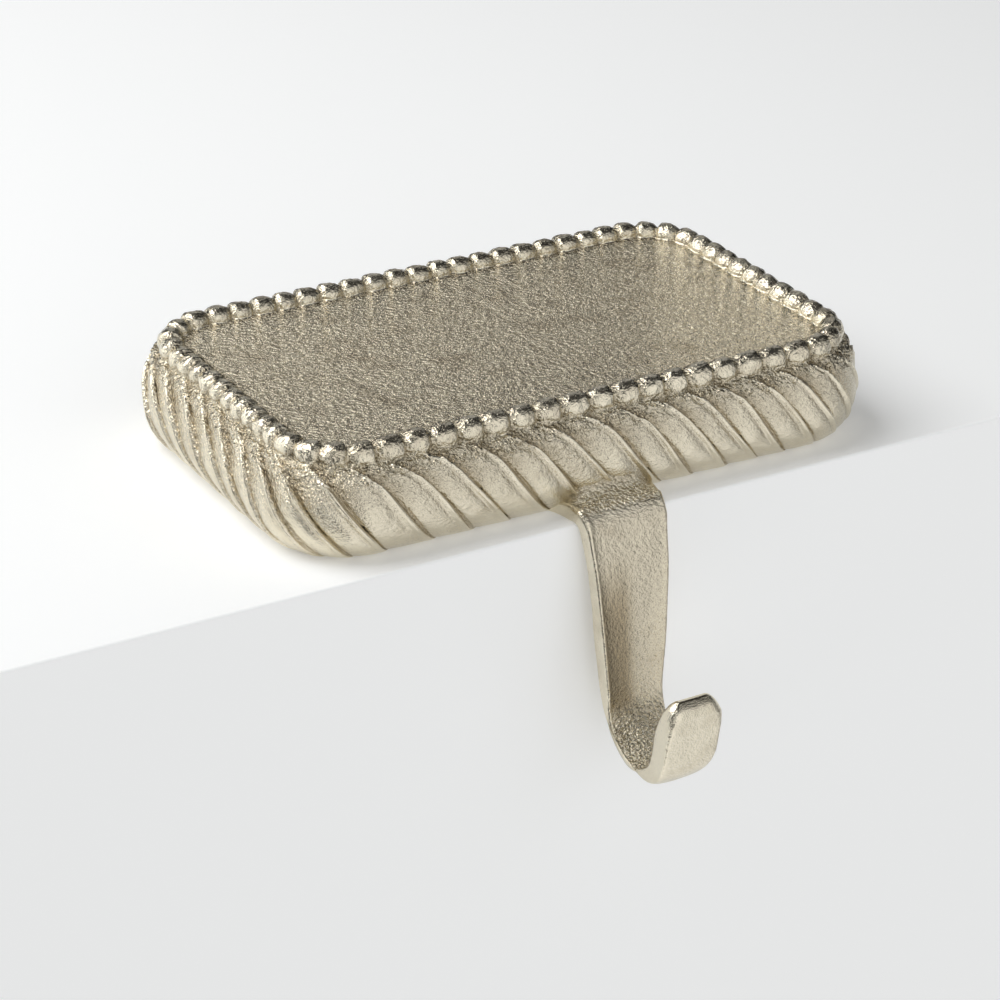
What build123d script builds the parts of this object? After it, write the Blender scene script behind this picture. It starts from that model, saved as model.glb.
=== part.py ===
from build123d import *
from math import atan2, cos, degrees, radians, sin
import os

# A mantel stocking holder in millimetres: a heavy cast block stands on the shelf, and a strap
# hook cast in one with it leaves the front edge, passes over the shelf's edge and hangs down.
# The seat is z = 0, +X runs along the block, and the hook faces -Y.

# Block, measured over the widest part of its bulged wall
block_length = 150.0
block_width = 92.2
corner_radius = 20.7
bulge_height = 10.7
shoulder_height = 22.0
field_height = 23.4
foot_inset = 8.3
shoulder_inset = 4.4
rim_inset = 4.8

# Rope lobes that slant down the wall: each swells, stands up in a rib and drops to a groove
lobe_pitch = 9.0
lobe_start = 6.3
lobe_drift = 3.0
drift_turn = 108.0
lobe_travel = 21.0
lobe_corners = (0.42, 0.78), (0.9, 1.0), (1.0, 0.0)
foot_depth = 0.9
bulge_depth = 1.3
shoulder_depth = 0.5
foot_strips = 5
shoulder_strips = 7

# Beads round the top field
bead_inset = 6.9
bead_pitch = 5.7
bead_radius = 3.0
bead_overlap = 0.5
notch_depth = 1.0
bead_flat = 2.4
bead_sides = 10

# Strap hook, with depths measured down from the seat
strap_thickness = 4.1
strap_root_width = 20.0
strap_end_width = 13.2
strap_lean = 7.0
shelf_edge = 48.4
root_depth = 12.3
root_flare = 6.0
root_fillet = 4.0
bend_radius = 1.2
hook_drop = 52.8
heel_radius = 18.0
heel_turn = 87.0
toe_radius = 7.0
toe_corner = 3.6
cradle_depth = 49.1
cradle_radius = 8.9
tip_depth = 29.2
tip_fall = 2.7
tip_lean = 10.0
tip_round = 1.2
tip_corner = 4.5
edge_break = 0.5


def outline(inset):
    """The block's rounded outline, this far inside its widest one."""
    length = block_length - 2 * inset
    width = block_width - 2 * inset
    return RectangleRounded(length, width, corner_radius - inset, mode=Mode.PRIVATE).wire()


def wall_point(place, inset):
    """A point this share of the way round the widest outline, set in square to it."""
    along = wall_line % (place % 1)
    return wall_line @ (place % 1) + Vector(-along.Y, along.X) * inset


def wall_section(step):
    """One slice of the wall, whose profile is two quarter ellipses that meet at the bulge."""
    if step < foot_strips:
        turn = radians(90 - 90 * step / foot_strips)
        reach, rise, edge_depth = foot_inset, -bulge_height, foot_depth
    else:
        turn = radians(90 * (step - foot_strips) / shoulder_strips)
        reach, rise, edge_depth = shoulder_inset, shoulder_height - bulge_height, shoulder_depth
    crest_inset = reach * (1 - cos(turn))
    groove_inset = crest_inset + bulge_depth + (edge_depth - bulge_depth) * sin(turn)
    start = lobe_start - lobe_travel * step / (foot_strips + shoulder_strips)
    corners = []
    for lobe in range(lobe_count):
        for across, swell in lobe_corners:
            share = (lobe + across) / lobe_count
            drift = lobe_drift * sin(radians(720 * share - drift_turn))
            inset = groove_inset + (crest_inset - groove_inset) * swell
            corners.append(wall_point(share + (start + drift) / wall_line.length, inset))
    with BuildSketch(Plane.XY.offset(bulge_height + rise * sin(turn))) as section:
        with BuildLine():
            Polyline(corners, close=True)
        make_face()
    return section.sketch


wall_line = outline(0)
lobe_count = round(wall_line.length / lobe_pitch)
sections = [wall_section(step) for step in range(foot_strips + shoulder_strips + 1)]

with BuildPart() as block:
    loft(sections, ruled=True)
    with BuildSketch(Plane.XY.offset(shoulder_height)):
        rim_length = block_length - 2 * rim_inset
        rim_width = block_width - 2 * rim_inset
        RectangleRounded(rim_length, rim_width, corner_radius - rim_inset)
    extrude(amount=field_height - shoulder_height)

# One bead, a faceted barrel lying along the rim, with its lower half sunk in the block
bead_line = outline(bead_inset)
bead_count = round(bead_line.length / bead_pitch)
half_bead = bead_line.length / bead_count / 2 + bead_overlap

with BuildPart() as bead:
    for place, radius in (
        (-half_bead, bead_radius - notch_depth),
        (-bead_flat / 2, bead_radius),
        (bead_flat / 2, bead_radius),
        (half_bead, bead_radius - notch_depth),
    ):
        with BuildSketch(Plane.YZ.offset(place)):
            RegularPolygon(radius, bead_sides, rotation=180 / bead_sides)
    loft(ruled=True)

bead_places = []
for number in range(bead_count):
    spot = bead_line @ (number / bead_count)
    along = bead_line % (number / bead_count)
    heading = degrees(atan2(along.Y, along.X))
    bead_places.append(Location((spot.X, spot.Y, field_height), (0, 0, heading)))


def straight_to(arc, height):
    """A line that leaves this arc's end along it and stops at this height."""
    return Line(arc @ 1, arc @ 1 + (arc % 1) * (height - (arc @ 1).Y) / (arc % 1).Y)


bend_turn = 90 - strap_lean
lean_share = 1 - sin(radians(strap_lean))
root_back = root_depth - shelf_edge
root_top = strap_thickness + root_fillet
half_root = strap_root_width / 2
half_end = strap_end_width / 2

# The hook's side view, from the shelf round the heel to the tip, and back over the cradle
with BuildPart() as hook:
    with BuildSketch(Plane.YZ) as side_view:
        with BuildLine():
            seat = Line((root_back, 0), (-shelf_edge, 0))
            inner_bend = JernArc(seat @ 1, seat % 1, bend_radius, bend_turn)
            back = straight_to(inner_bend, heel_radius * lean_share - hook_drop)
            heel = JernArc(back @ 1, back % 1, heel_radius, -heel_turn)
            toe = JernArc(heel @ 1, heel % 1, toe_radius, heel_turn + strap_lean + tip_lean - 180)
            tip_face = straight_to(toe, -tip_depth - tip_fall)
            outer_bend = JernArc(
                (-shelf_edge, strap_thickness), (-1, 0), bend_radius + strap_thickness, bend_turn
            )
            front = straight_to(outer_bend, cradle_radius * lean_share - cradle_depth)
            cradle = JernArc(front @ 1, front % 1, cradle_radius, strap_lean + tip_lean - 180)
            tip_back = straight_to(cradle, -tip_depth)
            Line(tip_back @ 1, tip_face @ 1)
            TangentArc(outer_bend @ 0, (root_fillet - shelf_edge, root_top), tangent=(1, 0))
            Polyline((root_fillet - shelf_edge, root_top), (root_back, root_top), (root_back, 0))
        make_face()
        tip_ends = [tip_back @ 1, tip_face @ 1]
        fillet([side_view.vertices().sort_by_distance(end)[0] for end in tip_ends], tip_round)
    extrude(amount=strap_root_width, both=True)
    cradle_middle = (front @ 1).X - cradle_radius * cos(radians(strap_lean))
    taper_end = (front @ 1).Y

# Its front views: the strap tapers down to the cradle, and the tip is a paddle of one width
with BuildPart() as hook_width:
    with BuildSketch(Plane.XZ.offset(-cradle_middle)):
        with BuildLine():
            Polyline(
                (-half_end, -hook_drop),
                (half_end, -hook_drop),
                (half_end, taper_end),
                (half_root, 0),
                (half_root, root_top),
                (-half_root, root_top),
                (-half_root, 0),
                (-half_end, taper_end),
                close=True,
            )
        make_face()
    extrude(amount=cradle_middle)
    with BuildSketch(Plane.XZ.offset(-cradle_middle)) as tip_view:
        with Locations((0, -hook_drop)):
            Rectangle(strap_end_width, hook_drop - tip_depth, align=(Align.CENTER, Align.MIN))
        fillet(tip_view.vertices().sort_by(Axis.Y)[-2:], tip_corner)
    extrude(amount=-cradle_middle)

with BuildPart() as root:
    # The strap spreads in plan where it runs out under the block
    with BuildSketch():
        with BuildLine():
            neck = half_root, -shelf_edge
            spread = half_root + root_flare, foot_inset - block_width / 2
            TangentArc(neck, spread, tangent=(0, 1))
            Polyline(spread, (spread[0], root_back + foot_inset), (0, root_back + foot_inset))
            Polyline((0, root_back + foot_inset), (0, neck[1]), neck)
        make_face()
        mirror(about=Plane.YZ)
    extrude(amount=strap_thickness)

with BuildPart() as holder:
    add(hook.part)
    add(hook_width.part, mode=Mode.INTERSECT)
    past_shelf = holder.edges().filter_by(lambda edge: edge.center().Y < -shelf_edge)
    chamfer(past_shelf.filter_by(Axis.X, reverse=True), edge_break)
    # The toe's right corner is ground round
    with BuildSketch(Plane.XZ):
        with Locations((half_end, -hook_drop)):
            Rectangle(toe_corner, toe_corner, align=(Align.MAX, Align.MIN))
        with Locations((half_end - toe_corner, toe_corner - hook_drop)):
            Circle(toe_corner, mode=Mode.SUBTRACT)
    extrude(amount=block_width, mode=Mode.SUBTRACT)
    add(root.part)
    add(block.part)
    with Locations(*bead_places):
        add(bead.part)
holder.part.label = "stocking_holder"

os.makedirs("parts", exist_ok=True)
export_step(holder.part, "parts/stocking_holder.step")
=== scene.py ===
import math
import bpy
import numpy as np
from mathutils import Matrix, Vector, noise


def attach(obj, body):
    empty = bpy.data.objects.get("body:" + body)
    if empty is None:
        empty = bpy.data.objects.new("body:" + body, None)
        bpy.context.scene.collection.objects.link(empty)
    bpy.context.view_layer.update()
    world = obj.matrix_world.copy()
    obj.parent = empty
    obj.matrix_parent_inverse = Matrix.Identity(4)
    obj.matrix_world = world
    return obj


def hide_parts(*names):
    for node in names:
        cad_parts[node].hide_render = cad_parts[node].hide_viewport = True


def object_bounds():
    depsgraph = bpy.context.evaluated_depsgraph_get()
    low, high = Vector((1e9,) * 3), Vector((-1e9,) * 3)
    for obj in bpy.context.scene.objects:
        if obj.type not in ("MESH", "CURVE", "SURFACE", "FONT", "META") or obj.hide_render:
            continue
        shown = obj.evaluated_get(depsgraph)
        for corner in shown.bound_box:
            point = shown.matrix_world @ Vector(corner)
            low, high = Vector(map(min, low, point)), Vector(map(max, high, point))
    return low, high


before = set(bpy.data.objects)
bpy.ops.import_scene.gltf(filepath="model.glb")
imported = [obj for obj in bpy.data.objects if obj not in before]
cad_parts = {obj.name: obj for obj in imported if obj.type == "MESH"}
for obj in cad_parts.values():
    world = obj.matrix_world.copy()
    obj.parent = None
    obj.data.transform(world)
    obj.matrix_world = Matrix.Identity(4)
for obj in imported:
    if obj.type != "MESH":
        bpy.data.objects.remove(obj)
cadLow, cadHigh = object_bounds()
mm = 0.001
print("frame loaded:", sorted(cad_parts))


# Small helpers

def linearColour(hexCode):  # sRGB hex to the linear values that Blender works in
    values = [int(hexCode[i:i + 2], 16) / 255 for i in (1, 3, 5)]
    return [v / 12.92 if v <= 0.04045 else ((v + 0.055) / 1.055) ** 2.4 for v in values] + [1.0]


def smoothStep(low, high, value):
    share = np.clip((value - low) / (high - low), 0, 1)
    return share * share * (3 - 2 * share)


def band(limits, value):  # rises over the first two limits and falls over the last two
    riseFrom, riseTo, fallFrom, fallTo = limits
    return smoothStep(riseFrom, riseTo, value) * (1 - smoothStep(fallFrom, fallTo, value))


def grainAt(points, size, offset=0.0):  # gradient noise of about -0.5 to 0.5, one value a point
    scaled = points / size + offset
    return np.array([noise.noise(Vector(p)) for p in scaled])


def newPiece(name, points, faces, shares, material):
    low, high = np.array(cadLow), np.array(cadHigh)
    mesh = bpy.data.meshes.new(name)
    mesh.from_pydata(np.clip(points * mm, low, high).tolist(), [], faces)
    mesh.polygons.foreach_set("use_smooth", [True] * len(mesh.polygons))
    mesh.validate()
    mesh.materials.append(material)
    # Each share from 0 to 1 goes on the points, where the material reads it
    for shareName, values in shares.items():
        layer = mesh.attributes.new(shareName, "FLOAT", "POINT")
        layer.data.foreach_set("value", np.clip(values, 0, 1).astype(np.float32).reshape(-1))
    piece = bpy.data.objects.new(name, mesh)
    bpy.context.scene.collection.objects.link(piece)
    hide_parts("stocking_holder")
    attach(piece, "root")
    return piece


def tubeFaces(rows, columns):  # quads between closed rings of points, and a cap at each end
    r = np.arange(rows - 1)[:, None] * columns
    c = np.arange(columns)[None, :]
    n = (c + 1) % columns
    quads = np.stack([r + c, r + n, r + columns + n, r + columns + c], -1)
    last = (rows - 1) * columns
    caps = [list(range(columns))[::-1], list(range(last, last + columns))]
    return quads.reshape(-1, 4).tolist() + caps


def addNode(tree, kind, settings=None, **links):  # one node, its settings and what feeds it
    node = tree.nodes.new(kind)
    for key, value in (settings or {}).items():
        if hasattr(node, key):
            setattr(node, key, value)
        else:
            node.inputs[key].default_value = value
    for key, source in links.items():
        name = key.replace("_", " ")
        socket = node.inputs[int(name[2:])] if name.startswith("in") else node.inputs[name]
        tree.links.new(source, socket)
    return node


def mapRange(tree, value, fromRange, toRange, smooth=True):
    settings = {"interpolation_type": "SMOOTHSTEP" if smooth else "LINEAR",
                "From Min": fromRange[0], "From Max": fromRange[1],
                "To Min": toRange[0], "To Max": toRange[1]}
    return addNode(tree, "ShaderNodeMapRange", settings, Value=value).outputs[0]


def mathNode(tree, operation, first, second):
    settings = {"operation": operation}
    return addNode(tree, "ShaderNodeMath", settings, in0=first, in1=second).outputs[0]


# Camera, in the photographed place: a long lens, turned a little about its own axis

cameraPlace = {
    "azimuth": -30.8548,
    "elevation": 26.28,
    "roll": 0.8996,
    "distance": 721.22,
    "target": (-0.176, 0.0, -17.374),
    "lens": 113.73,
    "sensor": 36,
    "clip": (0.01, 50),        # m
}


def makeCamera(place):
    a, e, r = (math.radians(place[key]) for key in ("azimuth", "elevation", "roll"))
    back = Vector((math.sin(a) * math.cos(e), -math.cos(a) * math.cos(e), math.sin(e)))
    right = Vector((0, 0, 1)).cross(back).normalized()
    up = back.cross(right)
    turnedRight = right * math.cos(r) + up * math.sin(r)
    turnedUp = up * math.cos(r) - right * math.sin(r)
    data = bpy.data.cameras.new("camera")
    data.lens = place["lens"]
    data.sensor_width = place["sensor"]
    data.clip_start, data.clip_end = place["clip"]
    camera = bpy.data.objects.new("camera", data)
    bpy.context.scene.collection.objects.link(camera)
    turn = Matrix((turnedRight, turnedUp, back)).transposed().to_4x4()
    spot = (Vector(place["target"]) + back * place["distance"]) * mm
    camera.matrix_world = Matrix.Translation(spot) @ turn
    bpy.context.scene.camera = camera


makeCamera(cameraPlace)


# Cast metal: aluminium out of a sand mould, nickel plated and left satin. The eye gets a warm
# silver with a pitted grain, coarser where the mould was rough and smooth where it was rubbed.

nickelFinish = {
    "light": "#e8e0cb",        # rubbed nickel
    "tarnishAndShade": "#93805f",      # warm tarnish for soft cloudy patches, and the colour that painted shade darkens towards
    "roughness": 0.14,
    "coarseRoughness": 0.105,
    "hammer": 3.2,             # mm, soft hollows left by hand rubbing
    "hammerDepth": 0.12,
    "sandGrain": 0.76,         # mm, the mould's sand, drawn coarser than real so that it shows
    "sandStretch": 0.50,       # the grain is drawn out where the mould was struck off level
    "strikeTurn": 30.85,       # degrees from the block's length
    "sandDepth": 0.95,
    "pebble": 0.80,            # mm, clumps of sand that stuck where the mould was rough
    "pebbleReach": 0.75,       # share of that size over which a clump rounds off
    "pebbleDepth": 0.58,
    "fineGrain": 0.26,         # mm, drawn coarser than the real sand so that it shows
    "fineDepth": 0.09,
    "fileSpacing": 0.9,        # mm between file marks
    "fileTurn": -38,           # degrees that the file marks lean across the strap
    "fileStretch": 0.12,
    "fileDepth": 0.07,
    "toolMarks": 15.0,         # scraper marks across one lobe
    "toolStretch": 0.10,
    "toolDepth": 0.22,
    "cloud": 9.0,              # mm, soft patches of tarnish
    "cloudFrom": (0.45, 0.75),
    "cloudShare": 0.35,
}


def makeNickel(finish):
    material = bpy.data.materials.new("sandCastNickel")
    material.use_nodes = True
    tree = material.node_tree
    tree.nodes.clear()
    place = addNode(tree, "ShaderNodeTexCoord").outputs["Object"]
    coarse, hollow, filed, pebbled, scraped = (
        addNode(tree, "ShaderNodeAttribute", {"attribute_name": name}).outputs["Fac"]
        for name in ("coarse", "hollow", "filed", "pebbled", "scraped"))

    def pattern(size, detail, rough=0.5, where=None):
        settings = {"Scale": 1 / (size * mm), "Detail": detail, "Roughness": rough}
        return addNode(tree, "ShaderNodeTexNoise", settings, Vector=where or place).outputs["Fac"]

    def drawnOut(turn, stretch):
        turned = addNode(tree, "ShaderNodeMapping", {"Rotation": turn}, Vector=place)
        longer = addNode(tree, "ShaderNodeMapping", {"Scale": stretch}, Vector=turned.outputs[0])
        return longer.outputs[0]

    def relief(height, depth, share=None, under=None):
        links = {"Height": height}
        settings = {"Distance": depth * mm}
        if share is None:
            settings["Strength"] = 1.0
        else:
            links["Strength"] = share
        if under is not None:
            links["Normal"] = under
        return addNode(tree, "ShaderNodeBump", settings, **links).outputs["Normal"]

    # The mould's sand, struck off in one direction, and the file's marks over it
    struck = drawnOut((0.0, 0.0, math.radians(finish["strikeTurn"])),
                      (finish["sandStretch"], 1.0, 1.0))
    sand = pattern(finish["sandGrain"], 3.0, 0.65, struck)
    fine = pattern(finish["fineGrain"], 1.0)
    hammer = pattern(finish["hammer"], 2.0)
    acrossStrap = drawnOut((0.0, math.radians(finish["fileTurn"]), 0.0),
                           (finish["fileStretch"], 1.0, 1.0))
    marks = pattern(finish["fileSpacing"], 2.0, 0.5, acrossStrap)

    # Rounded clumps of sand
    clumps = addNode(tree, "ShaderNodeTexVoronoi", {"Scale": 1 / (finish["pebble"] * mm)},
                     Vector=place)
    rounded = mapRange(tree, clumps.outputs["Distance"], (0.0, finish["pebbleReach"]), (1.0, 0.0))

    # Scraper marks run along each lobe
    lobeMap = addNode(tree, "ShaderNodeUVMap", {"uv_map": "lobes"}).outputs[0]
    alongLobe = addNode(tree, "ShaderNodeMapping",
                        {"Scale": (finish["toolMarks"], finish["toolStretch"], 1.0)},
                        Vector=lobeMap)
    scraper = addNode(tree, "ShaderNodeTexNoise", {"Scale": 1.0, "Detail": 2.0},
                      Vector=alongLobe.outputs[0])

    normal = relief(hammer, finish["hammerDepth"])
    normal = relief(marks, finish["fileDepth"], filed, normal)
    normal = relief(scraper.outputs["Fac"], finish["toolDepth"], scraped, normal)
    normal = relief(rounded, finish["pebbleDepth"], pebbled, normal)
    normal = relief(sand, finish["sandDepth"], coarse, normal)
    normal = relief(fine, finish["fineDepth"], None, normal)

    # Painted shade darkens recesses towards the tarnish colour, and soft cloudy patches of real
    # tarnish use it too
    clouds = mapRange(tree, pattern(finish["cloud"], 3.0), finish["cloudFrom"],
                      (0.0, finish["cloudShare"]), smooth=False)
    shade = mathNode(tree, "MAXIMUM", clouds, hollow)
    colour = addNode(tree, "ShaderNodeMix", {"data_type": "RGBA"})
    mixInputs = [s for s in colour.inputs if s.type == "RGBA"]
    mixInputs[0].default_value = linearColour(finish["light"])
    mixInputs[1].default_value = linearColour(finish["tarnishAndShade"])
    tree.links.new(shade, colour.inputs[0])
    colourOut = [s for s in colour.outputs if s.type == "RGBA"][0]

    rough = mapRange(tree, coarse, (0.0, 1.0), (finish["roughness"], finish["coarseRoughness"]),
                     smooth=False)
    shader = addNode(tree, "ShaderNodeBsdfPrincipled", {"Metallic": 1.0},
                     Base_Color=colourOut, Roughness=rough, Normal=normal)
    addNode(tree, "ShaderNodeOutputMaterial", Surface=shader.outputs[0])
    return material


nickel = makeNickel(nickelFinish)


# The block's wall, beads and field, all in one skin that is wrapped round the outline. Sizes
# are in mm, and places along the outline run from the left end of the front's straight stretch.

blockShape = {
    "length": 150.0, "width": 92.2, "cornerRadius": 20.7,
    "bulgeHeight": 10.7, "shoulderHeight": 22.0, "fieldHeight": 23.4,
    "footInset": 8.3, "shoulderInset": 4.4,
    "wallRows": 62,
    "shoulderTurn": 86,        # degrees of the upper quarter ellipse that show below the beads

    # Lobes
    "frontGrooves": (-24, -14, -2.5, 7, 16, 25.5, 35, 44, 54, 62.5, 71.5, 79.5, 87, 96, 104, 112),
    "sideLobes": 9.0,          # lobe pitch past those grooves, on the ends and the back
    "pitchWander": 0.55,
    "slant": 0.75,             # travel along the wall for each mm up it
    "topSweep": 3.0,           # mm more that a groove runs along the wall under the beads
    "sweepBelow": 7.0,
    "waver": 0.30,             # a groove's own wander on its way down
    "waverRun": 4.1,
    "grooveDepth": 1.5, "footDepth": 1.5, "shoulderDepth": 0.65,
    "upperDepths": ((17, 0.9), (20, 0.7)),    # height, and share of the groove's full depth
    "unevenDepth": 0.18,
    "leafFrom": (9.0, 19.0),   # heights over which a lobe takes the form it has under the beads
    "footFrom": (0.5, 6.0),

    # Beads
    "beadInset": 6.9, "beadRadius": 2.95, "beadLimit": 3.0,
    "beadCounts": {"front": 17, "corner": 4, "right": 9, "back": 19, "left": 10},
    "beadOutside": (-22, 30, 13),             # degrees from, degrees to, rows
    "beadInside": (37, 180, 21),
    "notchDepth": 1.6,
    "beadPeak": 0.60,          # a bead leans: broad on the left, with a sharp drop to the right
    "beadSquareness": (2.0, 5.0),
    "fieldRings": (10.2, 10.8, 12.0),         # insets where the field starts

    "wallGrain": 0.26,         # share of the sand's grain left on the rubbed lobes
}

straightLong = blockShape["length"] - 2 * blockShape["cornerRadius"]
straightShort = blockShape["width"] - 2 * blockShape["cornerRadius"]
cornerRun = blockShape["cornerRadius"] * math.pi / 2
runLengths = [straightLong, cornerRun, straightShort, cornerRun] * 2
runStarts = np.concatenate([[0], np.cumsum(runLengths)])
wholeRun = runStarts[-1]


def outlineAt(run):  # the widest outline's points and outward directions
    run = np.mod(run, wholeRun)
    radius = blockShape["cornerRadius"]
    x, y, nx, ny = (np.zeros_like(run) for _ in range(4))
    corners = [(1, -1), (1, 1), (-1, 1), (-1, -1)]
    for side in range(4):
        heading = math.pi / 2 * side
        start, end, cornerEnd = runStarts[2 * side:2 * side + 3]
        on = (run >= start) & (run < end)
        alongX, alongY = math.cos(heading), math.sin(heading)
        outX, outY = math.sin(heading), -math.cos(heading)
        gone = run[on] - start - runLengths[2 * side] / 2
        reach = (blockShape["width"] if side % 2 == 0 else blockShape["length"]) / 2
        x[on], y[on] = alongX * gone + outX * reach, alongY * gone + outY * reach
        nx[on], ny[on] = outX, outY
        on = (run >= end) & (run <= cornerEnd)
        angle = heading - math.pi / 2 + (run[on] - end) / radius
        sx, sy = corners[side]
        x[on] = sx * straightLong / 2 + radius * np.cos(angle)
        y[on] = sy * straightShort / 2 + radius * np.sin(angle)
        nx[on], ny[on] = np.cos(angle), np.sin(angle)
    return x, y, nx, ny


def lobePlaces(shape):  # where each groove starts, at the height of the shoulder
    seen = list(shape["frontGrooves"])
    gap = wholeRun - (seen[-1] - seen[0])
    count = round(gap / shape["sideLobes"])
    rest = [seen[-1] + gap * k / count + shape["pitchWander"] * math.sin(2.1 * k)
            for k in range(1, count)]
    return np.array(seen + rest + [seen[0] + wholeRun])


def beadPlaces(shape):  # the ends of each bead along the outline, uneven as the carver left them
    counts = shape["beadCounts"]
    names = ["front", "corner", "right", "corner", "back", "corner", "left", "corner"]
    ends = [0.0]
    for name, length in zip(names, runLengths):
        start = ends[-1]
        ends += [start + length * (k + 1) / counts[name] for k in range(counts[name])]
    ends = np.array(ends)
    number = np.arange(len(ends))
    nudge = 0.45 * np.sin(1.7 * number) * np.sin(0.9 * number + 1)
    nudge[0] = nudge[-1] = 0
    return ends + nudge


# One lobe across the wall, as shares of its pitch and of the groove's depth: a broad swell, then
# a narrow rib that drops sharply into the next groove. At the foot the rib is lost in the swell,
# and under the beads the swell leans like a leaf.
lobeAcross = np.array([0, .035, .08, .15, .25, .36, .47, .58, .66,
                       .72, .76, .80, .845, .89, .925, .955, .98, .992])
lobeRise = np.array([0, .30, .47, .60, .70, .76, .78, .76, .69,
                     .58, .52, .60, .84, .98, 1.0, .90, .48, .16])
footRise = np.array([0, .12, .24, .38, .52, .66, .77, .85, .90,
                     .93, .95, .98, 1.0, 1.0, .92, .76, .44, .18])
leafRise = np.array([0, .10, .17, .24, .33, .46, .60, .70, .72,
                     .68, .62, .66, .84, .97, 1.0, .88, .46, .16])


def wallProfile(shape):  # inset, height, distance up the wall and inward tilt of each row
    turn = np.radians(np.linspace(90, 0, 400))
    foot = np.stack([shape["footInset"] * (1 - np.cos(turn)),
                     shape["bulgeHeight"] * (1 - np.sin(turn))], 1)
    turn = np.radians(np.linspace(0, shape["shoulderTurn"], 400))
    rise = shape["shoulderHeight"] - shape["bulgeHeight"]
    shoulder = np.stack([shape["shoulderInset"] * (1 - np.cos(turn)),
                         shape["bulgeHeight"] + rise * np.sin(turn)], 1)
    line = np.concatenate([foot, shoulder[1:]])
    gone = np.concatenate([[0], np.cumsum(np.linalg.norm(np.diff(line, axis=0), axis=1))])
    rows = np.linspace(0, gone[-1], shape["wallRows"])
    inset, height = np.interp(rows, gone, line[:, 0]), np.interp(rows, gone, line[:, 1])
    tilt = np.arctan2(np.gradient(inset), np.gradient(height))
    return inset, height, rows, tilt


def lobeShareAt(run, grooves):  # how far across its lobe each place is, and which lobe that is
    first = grooves[0]
    run = first + np.mod(run - first, wholeRun)
    number = np.clip(np.searchsorted(grooves, run, side="right") - 1, 0, len(grooves) - 2)
    share = (run - grooves[number]) / (grooves[number + 1] - grooves[number])
    return share, number


def beadSwell(shape, within):  # how far a bead stands out, by the share along it
    peak = shape["beadPeak"]
    rising = within < peak
    edge = np.where(rising, (peak - within) / peak, (within - peak) / (1 - peak))
    return (1 - edge ** np.where(rising, *shape["beadSquareness"])) ** 0.6


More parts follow.
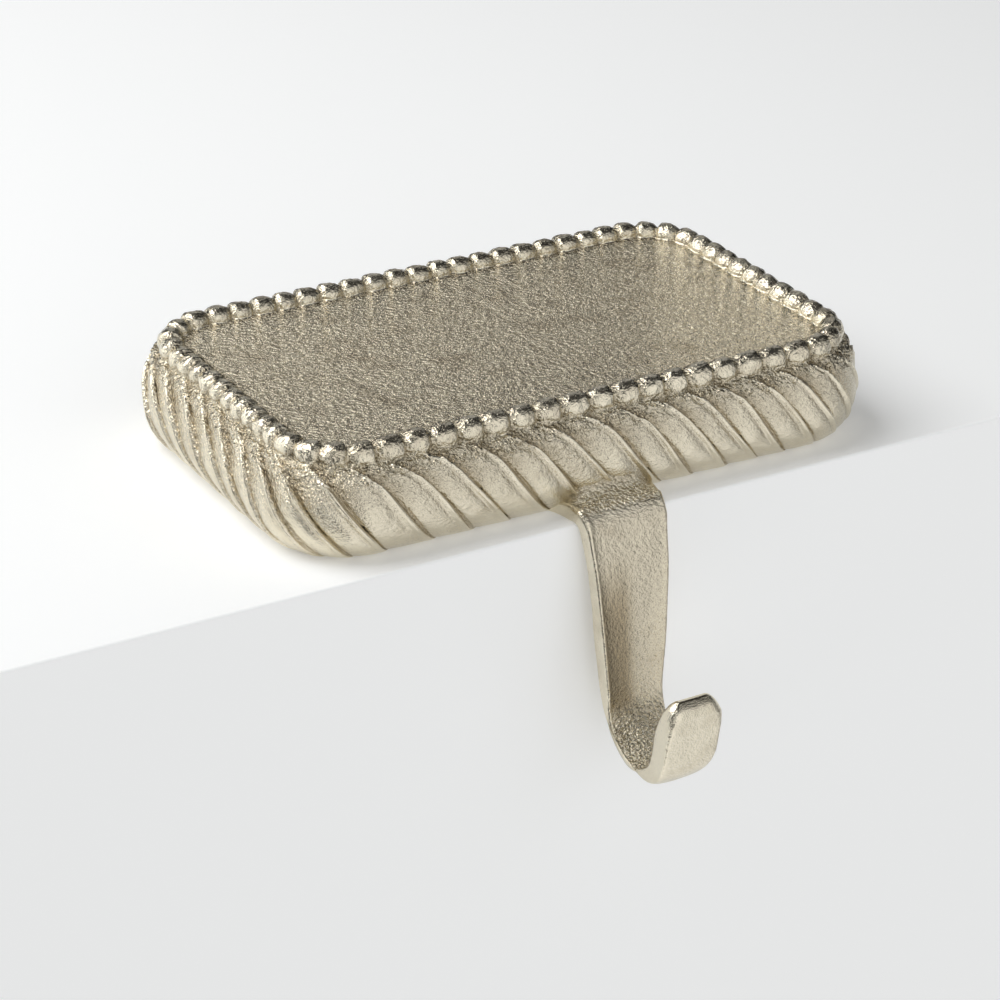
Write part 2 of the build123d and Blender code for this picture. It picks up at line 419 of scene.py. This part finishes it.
def makeBlock(shape):
    grooves = lobePlaces(shape)
    lobes, steps = len(grooves) - 1, len(lobeAcross)
    columns = lobes * steps
    start = np.repeat(grooves[:-1], steps)
    pitch = np.repeat(np.diff(grooves), steps)
    share = np.tile(lobeAcross, lobes)
    number = np.repeat(np.arange(lobes), steps)
    inset, height, rows, tilt = wallProfile(shape)
    top = rows[-1]
    listed = top * 0.93        # where the grooves are as far along as the list gives

    # The beads' columns are spread evenly over the beads, starting at the same place
    beadEnds = beadPlaces(shape)
    beadTotal = len(beadEnds) - 1
    firstPlace = start[0] - shape["slant"] * (top - listed) - shape["topSweep"]
    before = beadEnds[:-1] - wholeRun
    firstBead = np.interp(firstPlace, np.concatenate([before, beadEnds]),
                          np.arange(2 * beadTotal + 1))
    beadNumbers = firstBead + np.arange(columns) * beadTotal / columns
    allEnds = np.concatenate([before, beadEnds[:-1], beadEnds[:-1] + wholeRun])
    beadRun = np.interp(beadNumbers, np.arange(len(allEnds)), allEnds)

    points = []
    shares = {name: [] for name in ("coarse", "hollow", "pebbled", "scraped")}
    calm = []                  # how much of the hand-rubbed waves each point takes

    def addRow(x, y, z, calmShare, **values):
        points.append(np.stack([x, y, z + 0 * x], 1))
        calm.append(calmShare + 0 * x)
        for name in shares:
            shares[name].append(values.get(name, 0.0) + 0 * x)

    upperHeights, upperShares = zip(*shape["upperDepths"])
    depthHeights = [0, shape["bulgeHeight"], *upperHeights, shape["shoulderHeight"]]
    depths = [shape["footDepth"], shape["grooveDepth"],
              *(shape["grooveDepth"] * part for part in upperShares), shape["shoulderDepth"]]
    for k in range(len(rows)):
        waver = shape["waver"] * np.sin(rows[k] / shape["waverRun"] + number * 1.9)
        waver = waver * smoothStep(0, 6, rows[k])
        sweep = shape["topSweep"] * max(0.0, 1 - (top - rows[k]) / shape["sweepBelow"]) ** 2
        shift = shape["slant"] * (rows[k] - listed) + sweep
        settle = smoothStep(top - 5.0, top - 0.3, rows[k])
        place = (start + share * pitch - shift + waver) * (1 - settle) + beadRun * settle
        across, lobe = lobeShareAt(place + shift - waver, grooves)
        leaf = smoothStep(*shape["leafFrom"], height[k])
        foot = 1 - smoothStep(*shape["footFrom"], height[k])
        rise = np.interp(across, lobeAcross, lobeRise) * (1 - leaf - foot)
        rise += (np.interp(across, lobeAcross, leafRise) * leaf
                 + np.interp(across, lobeAcross, footRise) * foot)
        uneven = 1 + shape["unevenDepth"] * np.sin(lobe * 2.7 + 0.6)
        sunk = np.interp(height[k], depthHeights, depths) * (1 - rise) * uneven
        inward = inset[k] + sunk * math.cos(tilt[k])
        z = height[k] - sunk * math.sin(tilt[k]) * (height[k] > shape["bulgeHeight"])
        x, y, nx, ny = outlineAt(place)
        # The ribs are rubbed smooth, and the swells keep more of the mould's grain towards the top
        rib = band((0.79, 0.86, 0.95, 0.985), across)
        rough = smoothStep(5.0, 20, height[k] + 1.6 * np.sin(lobe * 3.3)) * (1 - 0.85 * rib)
        pitted = smoothStep(17.5, 21.0, height[k] + 0.8 * np.sin(lobe * 1.7))
        leftward = smoothStep(0.3, 0.9, -nx)
        addRow(x - nx * inward, y - ny * inward, z, float(smoothStep(0.0, 1.5, height[k])),
               coarse=shape["wallGrain"] * (1 - 0.6 * rib) + (0.75 - shape["wallGrain"]) * rough,
               pebbled=(0.15 + 0.4 * leftward) * rough + 0.6 * pitted + 0.3 * (1 - rise) ** 2,
               scraped=(0.35 + 0.65 * rib) * (1 - pitted),
               # painted shade, darkest in the grooves and left off the ribs so that they stay
               # light; the swells are also a little darker where they are rough towards the top
               hollow=(0.62 * (1 - rise) ** 2 + 0.10 * rough) * (1 - rib))

    # Beads: a rounded tongue outside, a cap on top and a small bright face inside
    swell = beadSwell(shape, np.mod(beadNumbers, 1))
    bead = np.floor(beadNumbers).astype(int) % beadTotal
    fullRadius = np.minimum(shape["beadRadius"] * (1 + 0.035 * np.sin(bead * 2.3)),
                            shape["beadLimit"])
    radius = fullRadius - shape["notchDepth"] * (1 - swell)
    x, y, nx, ny = outlineAt(beadRun)
    for turn in np.radians(np.concatenate([np.linspace(*shape["beadOutside"]),
                                           np.linspace(*shape["beadInside"])])):
        inward = shape["beadInset"] - radius * math.cos(turn)
        z = shape["fieldHeight"] + radius * math.sin(turn)
        low = 1 - smoothStep(-22, 0, math.degrees(turn))
        addRow(x - nx * inward, y - ny * inward, z, 0.35 + 0.3 * low + 0.2 * (1 - swell),
               coarse=0.22 + 0.4 * (1 - swell) + 0.3 * low,
               pebbled=0.16 + 0.4 * (1 - swell) + 0.2 * low,
               # painted shade in the notches between beads and along each bead's low outer foot
               hollow=0.55 * (1 - swell) + 0.15 * low)

    # The field is flat and rougher in the corner under the beads; painted shade makes that corner
    # darker and the whole field a little darker
    for ring in shape["fieldRings"]:
        edge = ring < shape["fieldRings"][-1]
        addRow(x - nx * ring, y - ny * ring, shape["fieldHeight"], 0.0,
               coarse=1.0, pebbled=0.3 if edge else 0.16, hollow=0.35 if edge else 0.1)

    flat = np.array(points).reshape(-1, 3)
    z = flat[:, 2]
    # Soft hand-rubbed waves everywhere, and a melted, pitted look along the shoulder
    wave = 0.20 * grainAt(flat, 6.0) + 0.08 * grainAt(flat, 2.6, 7.0)
    melt = smoothStep(15.5, 20.5, z)
    pits = melt * (0.60 * grainAt(flat, 2.0, 3.0) + 0.46 * grainAt(flat, 0.9, 11.0))
    inside = np.stack([np.clip(flat[:, 0], -54, 54), np.clip(flat[:, 1], -25, 25),
                       np.full(len(flat), 12.0)], 1)
    away = flat - inside
    away /= np.linalg.norm(away, axis=1)[:, None]
    flat = flat + away * ((wave + pits) * np.array(calm).reshape(-1))[:, None]
    flat[:, 2] = np.where(z <= 0.001, 0, np.maximum(flat[:, 2], 0))
    piece = newPiece("cast_block", flat, tubeFaces(len(points), columns),
                     {name: np.array(values) for name, values in shares.items()}, nickel)
    # A map that runs across and along the lobes, for the scraper's marks
    acrossMap = np.tile(number + share, len(points))
    upMap = np.repeat(np.concatenate([rows, np.full(len(points) - len(rows), top)]), columns)
    layer = piece.data.uv_layers.new(name="lobes")
    corners = np.zeros(len(piece.data.loops), dtype=np.int32)
    piece.data.loops.foreach_get("vertex_index", corners)
    mapped = np.stack([acrossMap[corners], upMap[corners]], 1).reshape(-1).astype(np.float32)
    layer.data.foreach_set("uv", mapped)
    print("block skin:", len(points), "rows of", columns)


makeBlock(blockShape)


# The strap hook. Each section gives the upper or front face's middle, then the under or back
# face's middle, both as (y, z), the half width to the left and right, and the back's crown.

hookSections = [
    ((-44.6, 9.4), (-38.0, 0.0), 13.0, 15.3, 0.0),
    ((-45.1, 7.6), (-41.0, 0.0), 11.6, 12.9, 0.0),
    ((-45.75, 6.2), (-44.0, 0.0), 10.9, 11.5, 0.0),
    ((-47.0, 4.95), (-46.6, 0.0), 10.6, 11.15, 0.0),
    ((-49.4, 4.0), (-48.4, 0.0), 10.7, 10.85, 0.0),
    ((-51.4, 2.7), (-48.9, -0.4), 10.5, 10.65, 0.0),
    ((-52.9, 0.3), (-49.3, -1.6), 10.1, 10.55, 0.0),
    ((-53.7, -3.6), (-49.8, -4.0), 9.6, 10.25, 0.0),
    ((-55.1, -9.2), (-51.2, -8.8), 9.2, 9.9, 0.0),
    ((-56.2, -16.0), (-52.2, -15.6), 8.75, 9.45, 0.0),
    ((-57.1, -23.0), (-52.9, -22.7), 8.3, 8.95, 0.0),
    ((-57.8, -29.9), (-53.6, -29.8), 7.8, 8.45, 0.1),
    ((-58.2, -37.0), (-54.5, -37.6), 7.15, 7.8, 0.2),
    ((-58.7, -41.2), (-55.9, -42.4), 6.85, 7.5, 0.4),
    ((-60.2, -44.4), (-58.0, -45.4), 6.7, 7.3, 0.6),
    ((-62.7, -46.9), (-61.0, -48.0), 6.6, 7.15, 0.8),
    ((-65.7, -48.4), (-64.6, -50.1), 6.6, 6.95, 0.9),
    ((-68.6, -48.9), (-68.6, -51.3), 6.6, 6.35, 0.9),
    ((-71.3, -48.1), (-72.5, -51.8), 6.6, 5.55, 0.8),
    ((-73.5, -46.5), (-76.0, -50.8), 6.6, 5.15, 0.5),
    ((-74.7, -44.2), (-78.5, -48.3), 6.6, 5.95, 0.3),
    ((-75.2, -41.5), (-79.8, -44.9), 6.6, 7.05, 0.1),
    ((-75.7, -38.0), (-80.7, -40.2), 6.6, 7.25, 0.0),
    ((-76.4, -35.2), (-81.5, -36.4), 6.6, 7.25, 0.0),
    ((-77.0, -33.0), (-81.9, -33.8), 6.5, 7.05, 0.0),
    ((-77.6, -31.3), (-82.1, -33.0), 6.0, 6.55, 0.0),
    ((-78.2, -30.2), (-81.9, -31.8), 5.3, 5.75, 0.0),
    ((-78.9, -29.6), (-81.3, -30.8), 4.4, 4.85, 0.0),
    ((-79.7, -29.5), (-80.2, -29.8), 3.5, 3.95, 0.0),
]

# How the face is dished or crowned, by the number of the section: how far its left edge, middle
# and right edge stand off the section's own face, and how narrow the edges are
faceDish = [
    (0, 0.0, 0.0, 0.0, 6.0), (4, 0.0, -0.10, 0.0, 8.0), (5, 0.0, -0.30, -0.2, 14.0),
    (8, 0.0, -0.42, -0.25, 12.0), (9, 0.0, -0.6, -0.3, 6.0), (10, 0.0, -0.95, -0.45, 3.4),
    (11.4, 0.0, -1.0, -0.5, 3.0), (12.2, 0.0, -0.7, -0.4, 3.0), (13.4, -0.8, -0.1, -0.1, 2.0),
    (14.8, -1.9, 0.0, -0.4, 1.5), (16.4, -1.9, 0.0, -0.5, 1.5), (18, -1.0, 0.0, -0.6, 2.0),
    (20, 0.0, 0.0, 0.0, 3.0), (28, 0.0, 0.0, 0.0, 3.0),
]

# Where each stretch of the hook fades in and out, by the number of the section
hookStretches = {
    "rootTop": (-2, -1, 1.5, 3.0),
    "rootBand": (1.5, 3.0, 4.0, 5.2),
    "bend": (2.4, 3.6, 5.0, 7.0),
    "strap": (4.5, 6, 13, 15),
    # where the painted dark reflection lies on the strap
    "stain": (7.2, 9.6, 12.6, 13.8),
    "cradle": (12.2, 14.5, 18.5, 20),
    "tipFront": (19, 21, 24, 25.2),
    "ground": (21.5, 25.0, 40, 41),
    "tipTop": (24, 25.2, 40, 41),
}

hookShape = {
    "edgeRadius": 0.75,
    "bendRadius": 0.5,         # added to the edges where the strap turns down
    "tipRadius": 1.75,         # the tip's edges are ground rounder than the strap's
    "rows": 260,
    "faceColumns": 40,
    "backColumns": 14,
    "strapThickness": 3.9,
    "clumpDepth": 0.26,
}


def smoothLine(values, count):  # values of evenly numbered stations, spread smoothly over rows
    values = np.array(values, float)
    spots = np.linspace(0, len(values) - 1, count)
    k = np.clip(spots.astype(int), 0, len(values) - 2)
    t = spots - k
    before = values[np.maximum(k - 1, 0)]
    a, b = values[k], values[k + 1]
    after = values[np.minimum(k + 2, len(values) - 1)]
    return 0.5 * (2 * a + (b - before) * t + (2 * before - 5 * a + 4 * b - after) * t ** 2
                  + (3 * a - before - 3 * b + after) * t ** 3)


def sectionRing(left, right, r, spread, face, crown, backColumns):
    # Across and out from the back's plane: the face, the right side, the back and the left side
    quarter = np.linspace(0, math.pi / 2, 5)
    middle, half = (right - left) / 2, (left + right) / 2
    back = np.linspace(right - r, -left + r, backColumns + 2)[1:-1]
    backShare = (back - middle) / half
    across = [middle + spread * (half - r), right - r + r * np.sin(quarter[1:]), [right] * 3,
              right - r + r * np.cos(quarter), back,
              -left + r - r * np.sin(quarter), [-left] * 3, -left + r - r * np.cos(quarter[:-1])]
    up = [face, face[-1] - r + r * np.cos(quarter[1:]), np.linspace(face[-1] - r, r, 5)[1:-1],
          r - r * np.sin(quarter), -crown * (1 - backShare ** 2),
          r - r * np.cos(quarter), np.linspace(r, face[0] - r, 5)[1:-1],
          face[0] - r + r * np.sin(quarter[:-1])]
    return np.concatenate(across), np.concatenate(up)


def makeHook(sections, shape):
    rowCount = shape["rows"]
    faceY, faceZ, backY, backZ, left, right, crown = (
        smoothLine(values, rowCount)
        for values in zip(*((*face, *back, *rest) for face, back, *rest in sections)))
    station = np.linspace(0, len(sections) - 1, rowCount)
    stretches = {name: band(limits, station) for name, limits in hookStretches.items()}
    spread = np.linspace(-1, 1, shape["faceColumns"])
    spread = 0.5 * spread + 0.5 * np.sin(spread * math.pi / 2)
    dishAt = [d[0] for d in faceDish]
    leftEdge, middleOff, rightEdge, power = (
        np.interp(station, dishAt, [d[c] for d in faceDish]) for c in (1, 2, 3, 4))
    points = []
    shares = {name: [] for name in ("coarse", "hollow", "filed", "pebbled")}
    for k in range(rowCount):
        at = {name: values[k] for name, values in stretches.items()}
        thick = math.hypot(faceY[k] - backY[k], faceZ[k] - backZ[k])
        outY, outZ = (faceY[k] - backY[k]) / thick, (faceZ[k] - backZ[k]) / thick
        r = shape["edgeRadius"] + (shape["tipRadius"] - shape["edgeRadius"]) * at["ground"]
        r = min(r + shape["bendRadius"] * at["bend"], thick / 2.3)
        # Where it leaves the block, the root falls away to a thin flange at each side
        flange = max(0.0, thick - shape["strapThickness"]) * (station[k] < 4)
        flange = flange * smoothStep(0.58, 0.98, np.abs(spread))
        edge = np.where(spread < 0, leftEdge[k], rightEdge[k])
        dish = (edge - middleOff[k]) * np.abs(spread) ** power[k]
        face = thick + middleOff[k] + dish - flange
        across, up = sectionRing(left[k], right[k], r, spread, face, crown[k], shape["backColumns"])
        points.append(np.stack([across, backY[k] + outY * up, backZ[k] + outZ * up], 1))

        onFace = (np.arange(len(up)) < len(spread)).astype(float)
        side = (across + (left[k] - right[k]) / 2) / ((left[k] + right[k]) / 2)
        rough = max(at["rootBand"], at["cradle"])
        # A painted dark reflection lies in the dish as a brown patch, on the strap's left half
        stain = at["stain"] * (1 - smoothStep(-0.35, 0.15, side)) * smoothStep(-1.0, -0.9, side)
        shares["coarse"].append(np.where(
            onFace > 0, 0.24 + 0.55 * max(rough, 0.6 * at["rootTop"]) + 0.2 * at["strap"],
            0.10 + 0.08 * at["tipFront"]) * (1 - at["tipTop"]))
        shares["pebbled"].append(
            onFace * (0.85 * max(rough, 0.5 * at["rootTop"]) + 0.06 * at["strap"] + 0.1 * stain)
            + (1 - onFace) * 0.08 * at["tipFront"])
        # painted shade over the strap's face and where the root meets the wall, with the painted
        # dark reflection in the dish
        shares["hollow"].append(onFace * (0.20 * at["strap"] + 0.35 * at["rootTop"]
                                          + 0.03 * at["rootBand"] + 0.5 * stain))
        shares["filed"].append(onFace * 0.8 * at["strap"] + (1 - onFace) * 0.5 * at["tipFront"])
    points = np.array(points)
    shares = {name: np.array(values) for name, values in shares.items()}
    flat = points.reshape(-1, 3)
    outward = np.cross(np.roll(points, -1, 1) - np.roll(points, 1, 1),
                       np.gradient(points, axis=0)).reshape(-1, 3)
    outward /= np.maximum(np.linalg.norm(outward, axis=1), 1e-9)[:, None]
    # Hand-rubbed waves, and clumps of the mould's sand where it was rough
    push = 0.10 * grainAt(flat, 7.0, 2.0) + 0.02 * grainAt(flat, 1.4, 5.0)
    push = push + shares["pebbled"].reshape(-1) * shape["clumpDepth"] * grainAt(flat, 0.9, 9.0)
    flat = flat + outward * push[:, None]
    columns = points.shape[1]
    newPiece("cast_hook", flat, tubeFaces(rowCount, columns), shares, nickel)
    print("hook:", rowCount, "rows of", columns)


makeHook(hookSections, hookShape)


# The shelf that the holder stands on, pale and plain, with its front edge where the hook goes down

shelfShape = {
    "edge": -48.4, "halfLength": 900.0, "back": 1500.0, "height": 700.0,
    "edgeRound": 0.6,
    "colour": "#f2f3f3",
    "lift": 0.23,              # glow that the camera and the metal see, as in a bright room
}


def makeShelf(shape):
    material = bpy.data.materials.new("paintedBoard")
    material.use_nodes = True
    tree = material.node_tree
    tree.nodes.clear()
    colour = linearColour(shape["colour"])
    board = addNode(tree, "ShaderNodeBsdfDiffuse", {"Color": colour})
    glow = addNode(tree, "ShaderNodeEmission", {"Color": colour, "Strength": shape["lift"]})
    lifted = addNode(tree, "ShaderNodeAddShader", in0=board.outputs[0], in1=glow.outputs[0])
    ray = addNode(tree, "ShaderNodeLightPath")
    seen = mathNode(tree, "MAXIMUM", ray.outputs["Is Camera Ray"], ray.outputs["Is Glossy Ray"])
    mix = addNode(tree, "ShaderNodeMixShader", in0=seen, in1=board.outputs[0],
                  in2=lifted.outputs[0])
    addNode(tree, "ShaderNodeOutputMaterial", Surface=mix.outputs[0])
    half, back, front, low = shape["halfLength"], shape["back"], shape["edge"], -shape["height"]
    r = shape["edgeRound"]
    side = [(back, 0.0)]
    side += [(front + r - r * math.sin(a), -r + r * math.cos(a))
             for a in np.radians(np.linspace(0, 90, 7))]
    side += [(front, low), (back, low)]
    points = [(x * mm, y * mm, z * mm) for x in (-half, half) for y, z in side]
    n = len(side)
    faces = [(k, (k + 1) % n, (k + 1) % n + n, k + n) for k in range(n)]
    faces += [tuple(range(n))[::-1], tuple(range(n, 2 * n))]
    mesh = bpy.data.meshes.new("shelf")
    mesh.from_pydata(points, [], faces)
    mesh.materials.append(material)
    shelf = bpy.data.objects.new("shelf", mesh)
    bpy.context.scene.collection.objects.link(shelf)
    print("shelf placed")


makeShelf(shelfShape)


# Studio light: a soft box behind at the left, one above, and a room that is pale in front and
# below and falls away into the dark above. Levels are plain multipliers, and boxes are in metres.

studio = {
    "paleSide": (0.20, -0.78, -0.60),
    "paleFrom": (-0.17, 0.30),
    "paleLevel": 0.88,
    "darkLevel": 0.045,
    "leftFrom": (-0.7, 0.45),
    "leftGain": 1.35,
    "rightFrom": (0.5, 0.82),
    "rightShare": 0.30,
    # A grey card behind and to the right, where the flat field mirrors it, and a dark flag low
    # at the left of the camera. Angles are in degrees.
    "backCard": {"towards": (0.46, 0.77, 0.44), "level": 0.52, "inner": 5.0, "outer": 22.0},
    "darkFlag": {"towards": (-0.67, -0.67, -0.31), "level": 0.02, "inner": 21.0, "outer": 31.0},
    "backdrop": 0.95,          # what the camera sees past the shelf
    "boxes": {
        "leftBox": {"at": (-1.0, 0.85, 0.12), "size": (1.2, 0.6), "power": 4.4},
        "topBox": {"at": (-0.65, 0.30, 0.95), "size": (0.95, 0.95), "power": 11.7},
    },
}


def makeLight(setup):
    world = bpy.data.worlds.new("studio")
    bpy.context.scene.world = world
    world.use_nodes = True
    tree = world.node_tree
    tree.nodes.clear()
    direction = addNode(tree, "ShaderNodeTexCoord").outputs["Generated"]

    def facing(towards):
        dot = addNode(tree, "ShaderNodeVectorMath", {"operation": "DOT_PRODUCT"}, in0=direction)
        dot.inputs[1].default_value = towards
        return dot.outputs["Value"]

    def cardLevel(card, outside):
        angles = [math.cos(math.radians(card[key])) for key in ("outer", "inner")]
        towards = Vector(card["towards"]).normalized()
        return mapRange(tree, facing(towards), angles, (outside, card["level"]))

    pale = mapRange(tree, facing(setup["paleSide"]), setup["paleFrom"],
                    (setup["darkLevel"], setup["paleLevel"]))
    sideways = addNode(tree, "ShaderNodeSeparateXYZ", Vector=direction).outputs["X"]
    right = mapRange(tree, sideways, setup["rightFrom"], (1.0, setup["rightShare"]))
    left = mapRange(tree, sideways, setup["leftFrom"], (setup["leftGain"], 1.0), smooth=False)
    room = mathNode(tree, "MULTIPLY", pale, mathNode(tree, "MULTIPLY", left, right))
    flagged = mathNode(tree, "MULTIPLY", room, cardLevel(setup["darkFlag"], 1.0))
    level = mathNode(tree, "ADD", flagged, cardLevel(setup["backCard"], 0.0))
    lit = addNode(tree, "ShaderNodeBackground", {"Color": (1, 1, 1, 1)}, Strength=level)
    seen = addNode(tree, "ShaderNodeBackground",
                   {"Color": (1, 1, 1, 1), "Strength": setup["backdrop"]})
    ray = addNode(tree, "ShaderNodeLightPath").outputs["Is Camera Ray"]
    mix = addNode(tree, "ShaderNodeMixShader", in0=ray, in1=lit.outputs[0], in2=seen.outputs[0])
    addNode(tree, "ShaderNodeOutputWorld", Surface=mix.outputs[0])
    for name, box in setup["boxes"].items():
        data = bpy.data.lights.new(name, "AREA")
        data.shape = "RECTANGLE"
        data.size, data.size_y = box["size"]
        data.energy = box["power"]
        lamp = bpy.data.objects.new(name, data)
        lamp.location = box["at"]
        lamp.rotation_euler = (-Vector(box["at"])).to_track_quat("-Z", "Y").to_euler()
        bpy.context.scene.collection.objects.link(lamp)
    print("lights placed")


makeLight(studio)
bpy.context.scene.view_settings.view_transform = "Standard"
